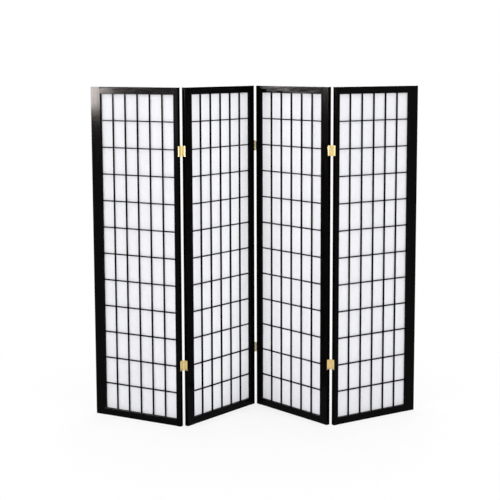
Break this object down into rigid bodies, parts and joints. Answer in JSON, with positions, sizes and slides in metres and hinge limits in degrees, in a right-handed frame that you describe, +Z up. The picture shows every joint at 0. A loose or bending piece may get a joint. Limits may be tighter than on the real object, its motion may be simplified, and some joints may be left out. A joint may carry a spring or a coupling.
{
  "type": "shoji folding screen",
  "caption": "Folding screen of black-lacquered wooden panels hinged in a zigzag, each a frame with a half-lapped lattice of small panes backed by white paper",
  "frame": {"origin": "middle of the standing screen's bounding box, on the floor", "axes": "+Z up; the screen's front, with the lattice, faces -Y; +X runs along the screen from the first panel on the viewer's left to the fourth on the right"},
  "size_m": [1.4676, 0.3552, 1.5],
  "materials": {
    "black_lacquer": "solid softwood under a smooth satin black lacquer, nearly opaque, faint long grain and soft grey reflections",
    "shoji_paper": "white fibre paper, matt and slightly translucent",
    "brass": "polished yellow brass plate with rolled knuckles, lightly worn at its rims",
    "brass_screw": "countersunk brass screws, flat bright heads"
  },
  "bodies": {
    "panel_1": {"fold_1_2_lower_left_leaf": "brass", "fold_1_2_lower_pin": "brass", "fold_1_2_upper_left_leaf": "brass", "fold_1_2_upper_pin": "brass", "panel_1_bottom_rail": "black_lacquer", "panel_1_hinge_screws": "brass_screw", "panel_1_horizontal_bars": "black_lacquer", "panel_1_left_stile": "black_lacquer", "panel_1_paper": "shoji_paper", "panel_1_paper_beads": "black_lacquer", "panel_1_right_stile": "black_lacquer", "panel_1_top_rail": "black_lacquer", "panel_1_vertical_bars": "black_lacquer"},
    "panel_2": {"fold_1_2_lower_right_leaf": "brass", "fold_1_2_upper_right_leaf": "brass", "fold_2_3_lower_left_leaf": "brass", "fold_2_3_lower_pin": "brass", "fold_2_3_upper_left_leaf": "brass", "fold_2_3_upper_pin": "brass", "panel_2_bottom_rail": "black_lacquer", "panel_2_hinge_screws": "brass_screw", "panel_2_horizontal_bars": "black_lacquer", "panel_2_left_stile": "black_lacquer", "panel_2_paper": "shoji_paper", "panel_2_paper_beads": "black_lacquer", "panel_2_right_stile": "black_lacquer", "panel_2_top_rail": "black_lacquer", "panel_2_vertical_bars": "black_lacquer"},
    "panel_3": {"fold_2_3_lower_right_leaf": "brass", "fold_2_3_upper_right_leaf": "brass", "fold_3_4_lower_left_leaf": "brass", "fold_3_4_lower_pin": "brass", "fold_3_4_upper_left_leaf": "brass", "fold_3_4_upper_pin": "brass", "panel_3_bottom_rail": "black_lacquer", "panel_3_hinge_screws": "brass_screw", "panel_3_horizontal_bars": "black_lacquer", "panel_3_left_stile": "black_lacquer", "panel_3_paper": "shoji_paper", "panel_3_paper_beads": "black_lacquer", "panel_3_right_stile": "black_lacquer", "panel_3_top_rail": "black_lacquer", "panel_3_vertical_bars": "black_lacquer"},
    "panel_4": {"fold_3_4_lower_right_leaf": "brass", "fold_3_4_upper_right_leaf": "brass", "panel_4_bottom_rail": "black_lacquer", "panel_4_hinge_screws": "brass_screw", "panel_4_horizontal_bars": "black_lacquer", "panel_4_left_stile": "black_lacquer", "panel_4_paper": "shoji_paper", "panel_4_paper_beads": "black_lacquer", "panel_4_right_stile": "black_lacquer", "panel_4_top_rail": "black_lacquer", "panel_4_vertical_bars": "black_lacquer"}
  },
  "joints": [
    {"name": "fold_1_2", "type": "hinge", "parent": "panel_2", "child": "panel_1", "pos_m": [-0.32094, -0.1594, 0.75], "axis": [0, 0, 1], "range_deg": [-104.6, 75.4]},
    {"name": "fold_2_3", "type": "hinge", "parent": "panel_2", "child": "panel_3", "pos_m": [0.00137, 0.16417, 0.75], "axis": [0, 0, 1], "range_deg": [-84.9, 95.1]},
    {"name": "fold_3_4", "type": "hinge", "parent": "panel_3", "child": "panel_4", "pos_m": [0.33204, -0.15085, 0.75], "axis": [0, 0, 1], "range_deg": [-77.1, 102.9]}
  ]
}
